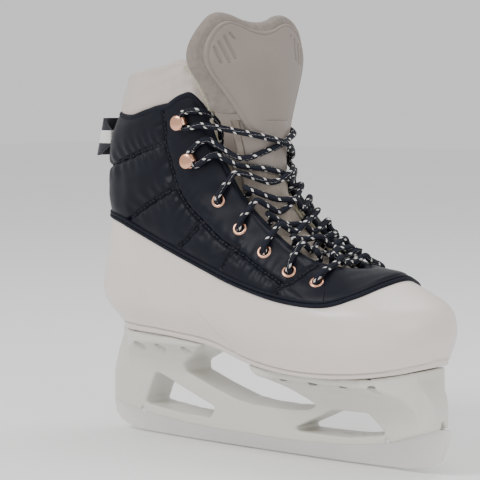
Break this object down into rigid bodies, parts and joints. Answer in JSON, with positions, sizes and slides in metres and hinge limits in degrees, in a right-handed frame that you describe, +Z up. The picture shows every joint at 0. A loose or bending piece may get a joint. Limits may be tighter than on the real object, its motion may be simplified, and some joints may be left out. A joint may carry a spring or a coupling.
{
  "type": "ice skate",
  "caption": "Recreational ice skate: moulded shell with quilted upper, laced padded tongue, blade holder with windows and a straight-edged runner.",
  "frame": {"origin": "centre of the bounding box at its lowest plane, where the runner meets the ice", "axes": "+X towards the toe, +Y to the skate's left side, +Z up"},
  "size_m": [0.2934, 0.115, 0.287],
  "materials": {
    "shell": "satin",
    "holder": "satin",
    "outsole": "satin",
    "steel": "polished",
    "rivet": "dark",
    "navy": "quilted nylon",
    "binding": "woven webbing and piping",
    "leatherette": "soft matte",
    "board": "matte",
    "foam": "matte",
    "felt": "felt",
    "greige": "soft matte",
    "gusset": "mesh",
    "rose_gold": "polished",
    "lace": "braided, with pale flecks"
  },
  "bodies": {
    "skate": {"edge_binding": "binding", "eyelet_left_1": "rose_gold", "eyelet_left_2": "rose_gold", "eyelet_left_3": "rose_gold", "eyelet_left_4": "rose_gold", "eyelet_left_5": "rose_gold", "eyelet_right_1": "rose_gold", "eyelet_right_2": "rose_gold", "eyelet_right_3": "rose_gold", "eyelet_right_4": "rose_gold", "eyelet_right_5": "rose_gold", "footbed": "foam", "gusset_left": "gusset", "gusset_right": "gusset", "holder": "holder", "hook_left_1": "rose_gold", "hook_left_2": "rose_gold", "hook_right_1": "rose_gold", "hook_right_2": "rose_gold", "lace": "lace", "liner": "leatherette", "midsole_board": "board", "outsole_plate": "outsole", "pin_front": "steel", "pin_rear": "steel", "quarter_left": "navy", "quarter_right": "navy", "rivet_left_front_1": "rivet", "rivet_left_front_2": "rivet", "rivet_left_front_3": "rivet", "rivet_left_front_4": "rivet", "rivet_left_rear_1": "rivet", "rivet_left_rear_2": "rivet", "rivet_left_rear_3": "rivet", "rivet_right_front_1": "rivet", "rivet_right_front_2": "rivet", "rivet_right_front_3": "rivet", "rivet_right_front_4": "rivet", "rivet_right_rear_1": "rivet", "rivet_right_rear_2": "rivet", "rivet_right_rear_3": "rivet", "runner": "steel", "shell": "shell", "tongue_base": "greige", "trim_binding": "binding", "vamp": "navy"},
    "tongue_cuff": {"tongue_pad": "felt", "tongue_shield": "greige"},
    "loop": {"pull_loop": "binding"}
  },
  "joints": [
    {"name": "tongue_flex", "type": "hinge", "parent": "skate", "child": "tongue_cuff", "pos_m": [0.01185, 0, 0.2198], "axis": [0, 1, 0], "range_deg": [0, 22], "stiffness_Nm_per_rad": 0.6},
    {"name": "pull_loop_tilt", "type": "hinge", "parent": "skate", "child": "loop", "pos_m": [-0.12575, 0, 0.205], "axis": [0, 1, 0], "range_deg": [-10, 10], "stiffness_Nm_per_rad": 0.02}
  ]
}
